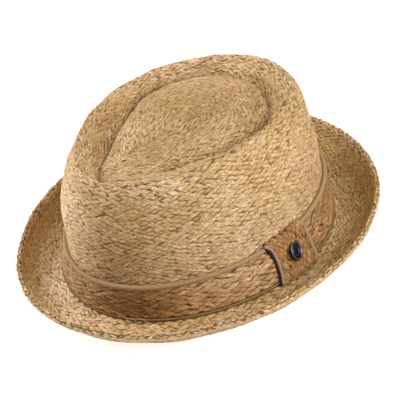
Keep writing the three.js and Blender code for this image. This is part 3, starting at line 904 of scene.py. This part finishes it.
def tube(name, path, outward, radius, material, closed, flatten=1.0):
    """One cord as a piece of its own."""
    bm = new_shape()
    add_tube(bm, path, outward, radius, closed, flatten=flatten)
    return to_piece(name, bm, material)


# the cords round the band: name, the CAD node it replaces, height, radius, distance from the crown's wall
# and material
BAND_CORDS = [
    ("top_piping", "band_top_binding", 31.3, 1.8, 1.9, TAPE),
    ("bottom_piping", "band_bottom_binding", 6.9, 0.8, 1.2, EDGE_TAPE),
]


def make_pipings():
    angles = ROUND[:-1][::2]
    for name, node_name, high, radius, off, material in BAND_CORDS:
        path = beside_crown(angles, high, off)
        outward = beside_crown(angles, high, off + 1) - path
        piping = tube(name, path, outward, radius, material, True)
        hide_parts(node_name)


def tab_points(angles, drop=0.0):
    first, last = np.radians([TAB_FROM, TAB_TO])
    share = (last - angles) / (last - first)
    return np.stack([beside_crown(angles + math.radians(swing) * share, high, off - drop)
                     for off, high, swing in TAB_RUN])


def smooth_path(points, fine=6):
    """A smooth open path through a few points."""
    count = len(points)
    places = np.linspace(0, count - 1, (count - 1) * fine + 1)
    padded = np.concatenate([[2 * points[0] - points[1]], points, [2 * points[-1] - points[-2]]])
    i = np.minimum(places.astype(int), count - 2)
    t = (places - i).reshape((-1,) + (1,) * (points.ndim - 1))
    p0, p1, p2, p3 = padded[i], padded[i + 1], padded[i + 2], padded[i + 3]
    return 0.5 * (2 * p1 + (p2 - p0) * t + (2 * p0 - 5 * p1 + 4 * p2 - p3) * t ** 2
                  + (3 * p1 - p0 - 3 * p2 + p3) * t ** 3)


# the cords down the tab's sides: name, the CAD node it replaces, angle, the way it lies off the tab, radius,
# how flat it is, how many rows of the tab's run it stops short, its depth under the tab's face and material
TAB_CORDS = [
    ("tab_front_piping", "tab_front_binding", TAB_FROM, -1, 1.2, 1.0, 2, 0.9, TAB_TAPE),
    # the backing cord is maroon backing and painted shadow where the tab stands off the band
    ("tab_front_backing_and_shadow", "tab_front_binding", TAB_FROM - 1.0, -1, 1.25, 0.8, 3, 1.3, BACKING_AND_SHADOW),
    ("tab_rear_piping", "tab_rear_binding", TAB_TO, 1, 1.8, 0.6, 4, 0.9, TAPE),
]
CORD_BOW = 0.7  # how far such a cord bows towards the hat's back half way up
CORD_SUNK = 0.1  # how deep it lies in the tab's side
TAB_UNDER, TAB_THICK = 0.5, 1.3  # the plain wall's depth under the tab's face, and its thickness
TAB_MARGIN, TAB_TOP = 0.02, 0.95  # how far it stays inside the tab's sides, and how far up it goes


def make_tab():
    angles = np.radians(np.linspace(TAB_FROM, TAB_TO, 41))
    tab = Sheet(smooth_path(tab_points(angles)), closed=False)

    def tab_wall_place(up, turn):
        return tab.at(up * TAB_TOP, TAB_MARGIN + turn * (1 - 2 * TAB_MARGIN), -TAB_UNDER)

    wall = wrapped("tab_wall", 40, 24, tab_wall_place, (34, 34), UNDER_BAND, "band_raffia")
    thicken(wall, TAB_THICK)
    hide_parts("band_tab")
    upright = Sheet(tab.points[:, ::-1].transpose(1, 0, 2), closed=False)
    plait("tab_plait", "tab", upright, UNIT, 0.45, TAB_STRAW, "band_raffia",
          spacing=10.0, pitch=2.2, seed=51, ruffle=1.4)
    for name, node_name, degrees, side, radius, flat, left_off, deep, material in TAB_CORDS:
        angle = np.radians([degrees, degrees + 0.5])
        rows = len(TAB_RUN) - left_off
        pair = smooth_path(tab_points(angle, deep)[:rows])
        along = pair[:, 1] - pair[:, 0]
        along /= np.linalg.norm(along, axis=-1, keepdims=True)
        bow = np.sin(np.linspace(0, 1, len(pair)) * np.pi)[:, None] * CORD_BOW
        path = pair[:, 0] + along * (side * (radius - CORD_SUNK) + bow)
        outward = smooth_path(tab_points(angle, deep - 1)[:rows])[:, 0] - pair[:, 0]
        piping = tube(name, path, outward, radius, material, False, flatten=flat)
        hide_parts(node_name)


# loose fibres that stand off the straw: angle, how far they run round in degrees, height, distance from
# the wall, and how far they bow out and up
STRAY_FIBRES = [
    (13.0, 5.0, 7.0, 3.2, 1.5, 4.5), (18.5, 3.5, 6.6, 3.4, 1.8, 3.8), (22.0, 4.0, 7.2, 3.0, 1.4, 3.2),
    (332.0, 5.0, 26.0, 2.6, 1.6, 2.4), (140.0, 4.0, 12.0, 3.0, 1.8, 3.0), (201.0, 5.0, 9.0, 3.0, 2.0, 3.4),
    (262.0, 4.0, 10.0, 3.0, 1.6, 3.0),
]
FIBRE_RADIUS = 0.17


def make_stray_fibres():
    """A few thin loops of raffia that have worked loose on the band and by its foot."""
    bow = np.sin(np.linspace(0, np.pi, 13))[:, None]
    bm = new_shape()
    for angle, run, high, off, out, up in STRAY_FIBRES:
        turns = np.radians(np.linspace(angle, angle + run, 13))
        foot = beside_crown(turns, high, off)
        outward = beside_crown(turns, high, off + 1) - foot
        path = foot + bow * (outward * out + np.array([0, 0, up]))
        add_tube(bm, path, outward, FIBRE_RADIUS, closed=False, around=5)
    to_piece("stray_fibres", bm, FIBRE)


# the button's outline from its middle out to its foot: radius and height
BUTTON_OUTLINE = [
    (0.0, 0.62), (1.8, 0.64), (2.8, 0.7), (3.2, 0.95), (3.5, 1.05), (3.8, 0.95), (4.2, 0.72), (5.0, 0.75),
    (5.4, 1.0), (5.8, 1.4), (6.2, 1.52), (6.55, 1.4), (6.8, 1.05), (6.85, 0.5), (6.6, 0.0), (6.0, -0.3),
    (5.0, -2.0),
]
RIM_TOP, RIM_RUB_AND_HIGHLIGHT = 1.35, 0.8  # above this height the rim is rubbed and carries a painted highlight, and how much
RING_TOP, RING_RUB_AND_HIGHLIGHT = 0.9, 0.25  # the same for the ring inside it and the rim's sides
BUTTON_REACH = 5  # how far above and below its middle the wall behind it is read


def make_button():
    bm = bmesh.new()
    corners = [bm.verts.new((radius, 0, high)) for radius, high in BUTTON_OUTLINE]
    edges = [bm.edges.new(pair) for pair in zip(corners[:-1], corners[1:])]
    bmesh.ops.spin(bm, geom=corners + edges, cent=(0, 0, 0), axis=(0, 0, 1), angle=2 * math.pi,
                   steps=48, use_merge=True)
    bmesh.ops.remove_doubles(bm, verts=bm.verts[:], dist=0.01)
    bmesh.ops.holes_fill(bm, edges=[edge for edge in bm.edges if edge.is_boundary], sides=0)
    bmesh.ops.recalc_face_normals(bm, faces=bm.faces[:])
    # rubbed wear on the raised rim and ring, which also carries a painted highlight
    rub_and_highlight = bm.verts.layers.float.new("rub_and_highlight")
    for vertex in bm.verts:
        vertex[rub_and_highlight] = RIM_RUB_AND_HIGHLIGHT if vertex.co.z > RIM_TOP else RING_RUB_AND_HIGHLIGHT if vertex.co.z > RING_TOP else 0.0
    angle = np.radians([BUTTON_ANGLE, BUTTON_ANGLE + 0.5])
    low = beside_crown(angle, BUTTON_HIGH - BUTTON_REACH, BUTTON_OFF)
    high = beside_crown(angle, BUTTON_HIGH + BUTTON_REACH, BUTTON_OFF)
    middle = beside_crown(angle, BUTTON_HIGH, BUTTON_OFF)
    round_way = Vector(middle[1] - middle[0]).normalized()
    up_way = Vector(high[0] - low[0]).normalized()
    round_way.rotate(Matrix.Rotation(math.radians(BUTTON_TURN), 3, "Z"))
    facing = round_way.cross(up_way).normalized()
    up_way = facing.cross(round_way)
    turn = Matrix((round_way, up_way, facing)).transposed().to_4x4()
    bmesh.ops.transform(bm, matrix=Matrix.Translation(Vector(middle[0])) @ turn, verts=bm.verts[:])
    bmesh.ops.scale(bm, vec=(MM, MM, MM), verts=bm.verts[:])
    cap = to_piece("button_cap", bm, BLACK_METAL)
    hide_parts("snap_button")


# Floor, light and camera

FLOOR_SIZE, FLOOR_DROP = 30, 0.0004  # metres; the floor lies a hair under the brim
FLOOR_GREY, FLOOR_GLOW = 0.42, 0.84  # it gives off light to come out white as in the photo
SKY_STRENGTH = 0.12

# the lights: name, azimuth from the hat's front over its left, elevation and power
LIGHTS = [
    ("left_softbox", -70, 25, 18.5),
    ("right_softbox", 112, 26, 15.8),
    ("top_softbox", 60, 85, 10.8),
]
LIGHT_DISTANCE, LIGHT_SIZE, LIGHT_AIM = 1.5, 0.9, 0.05  # metres; the aim is a height over the floor

# the photo's camera: degrees, millimetres, and pixels in a picture 400 wide
CAMERA_AZIMUTH, CAMERA_ELEVATION, CAMERA_ROLL = 51.71, 35.30, 12.80
CAMERA_DISTANCE = 2600
PHOTO_WIDTH = 400
PHOTO_SCALE = 1.3824  # pixels to a millimetre at the hat
AIM_HIGH = 33.3
AIM_ACROSS, AIM_DOWN = 192.24, 201.08  # the pixel at which the aim shows in the photo
SENSOR_WIDTH = 36


def make_floor():
    mesh = bpy.data.meshes.new("floor")
    bm = bmesh.new()
    bmesh.ops.create_grid(bm, x_segments=1, y_segments=1, size=FLOOR_SIZE)
    bmesh.ops.translate(bm, vec=(0, 0, -FLOOR_DROP), verts=bm.verts[:])
    bm.to_mesh(mesh)
    bm.free()
    floor = linked("floor", mesh)
    material, _, shader = new_material("floor_white", 0.9, 0.1)
    shader.inputs["Base Color"].default_value = (FLOOR_GREY, FLOOR_GREY, FLOOR_GREY, 1)
    shader.inputs["Emission Color"].default_value = (1, 1, 1, 1)
    shader.inputs["Emission Strength"].default_value = FLOOR_GLOW
    floor.data.materials.append(material)


def way_to(azimuth, elevation):
    """The way from the hat to a light or the camera. Azimuth 0 is the hat's front, 90 its left."""
    a = math.radians(azimuth)
    e = math.radians(elevation)
    return Vector((math.sin(a) * math.cos(e), -math.cos(a) * math.cos(e), math.sin(e)))


def make_light(name, azimuth, elevation, power):
    """A soft round light that looks at the hat."""
    back = way_to(azimuth, elevation)
    light = bpy.data.lights.new(name, "AREA")
    light.shape = "DISK"
    light.size = LIGHT_SIZE
    light.energy = power
    lamp = linked(name, light)
    lamp.location = back * LIGHT_DISTANCE + Vector((0, 0, LIGHT_AIM))
    lamp.rotation_mode = "QUATERNION"
    lamp.rotation_quaternion = (-back).to_track_quat("-Z", "Y")


def make_camera():
    azimuth = math.radians(CAMERA_AZIMUTH)
    roll = math.radians(CAMERA_ROLL)
    back = way_to(CAMERA_AZIMUTH, CAMERA_ELEVATION)
    level = Vector((math.cos(azimuth), math.sin(azimuth), 0))
    upright = back.cross(level)
    right = level * math.cos(roll) - upright * math.sin(roll)
    up = level * math.sin(roll) + upright * math.cos(roll)
    across = (PHOTO_WIDTH / 2 - AIM_ACROSS) / PHOTO_SCALE
    down = (AIM_DOWN - PHOTO_WIDTH / 2) / PHOTO_SCALE
    aim = Vector(HEAD) + Vector((0, 0, AIM_HIGH)) + right * across + up * down
    eye = (aim + back * CAMERA_DISTANCE) * MM
    camera = bpy.data.cameras.new("camera")
    camera.sensor_width = SENSOR_WIDTH
    camera.lens = SENSOR_WIDTH * PHOTO_SCALE * CAMERA_DISTANCE / PHOTO_WIDTH
    camera.clip_end = 50
    seat = linked("camera", camera)
    seat.matrix_world = Matrix.Translation(eye) @ Matrix((right, up, back)).transposed().to_4x4()
    bpy.context.scene.camera = seat


def make_studio():
    make_floor()
    world = bpy.data.worlds.new("studio")
    world.use_nodes = True
    sky = world.node_tree.nodes["Background"]
    sky.inputs["Color"].default_value = (1, 1, 1, 1)
    sky.inputs["Strength"].default_value = SKY_STRENGTH
    bpy.context.scene.world = world
    for name, azimuth, elevation, power in LIGHTS:
        make_light(name, azimuth, elevation, power)
    make_camera()
    bpy.context.scene.view_settings.view_transform = "Standard"


make_crown()
make_brim()
make_edge_braid()
make_band()
make_pipings()
make_tab()
make_button()
make_stray_fibres()
make_studio()
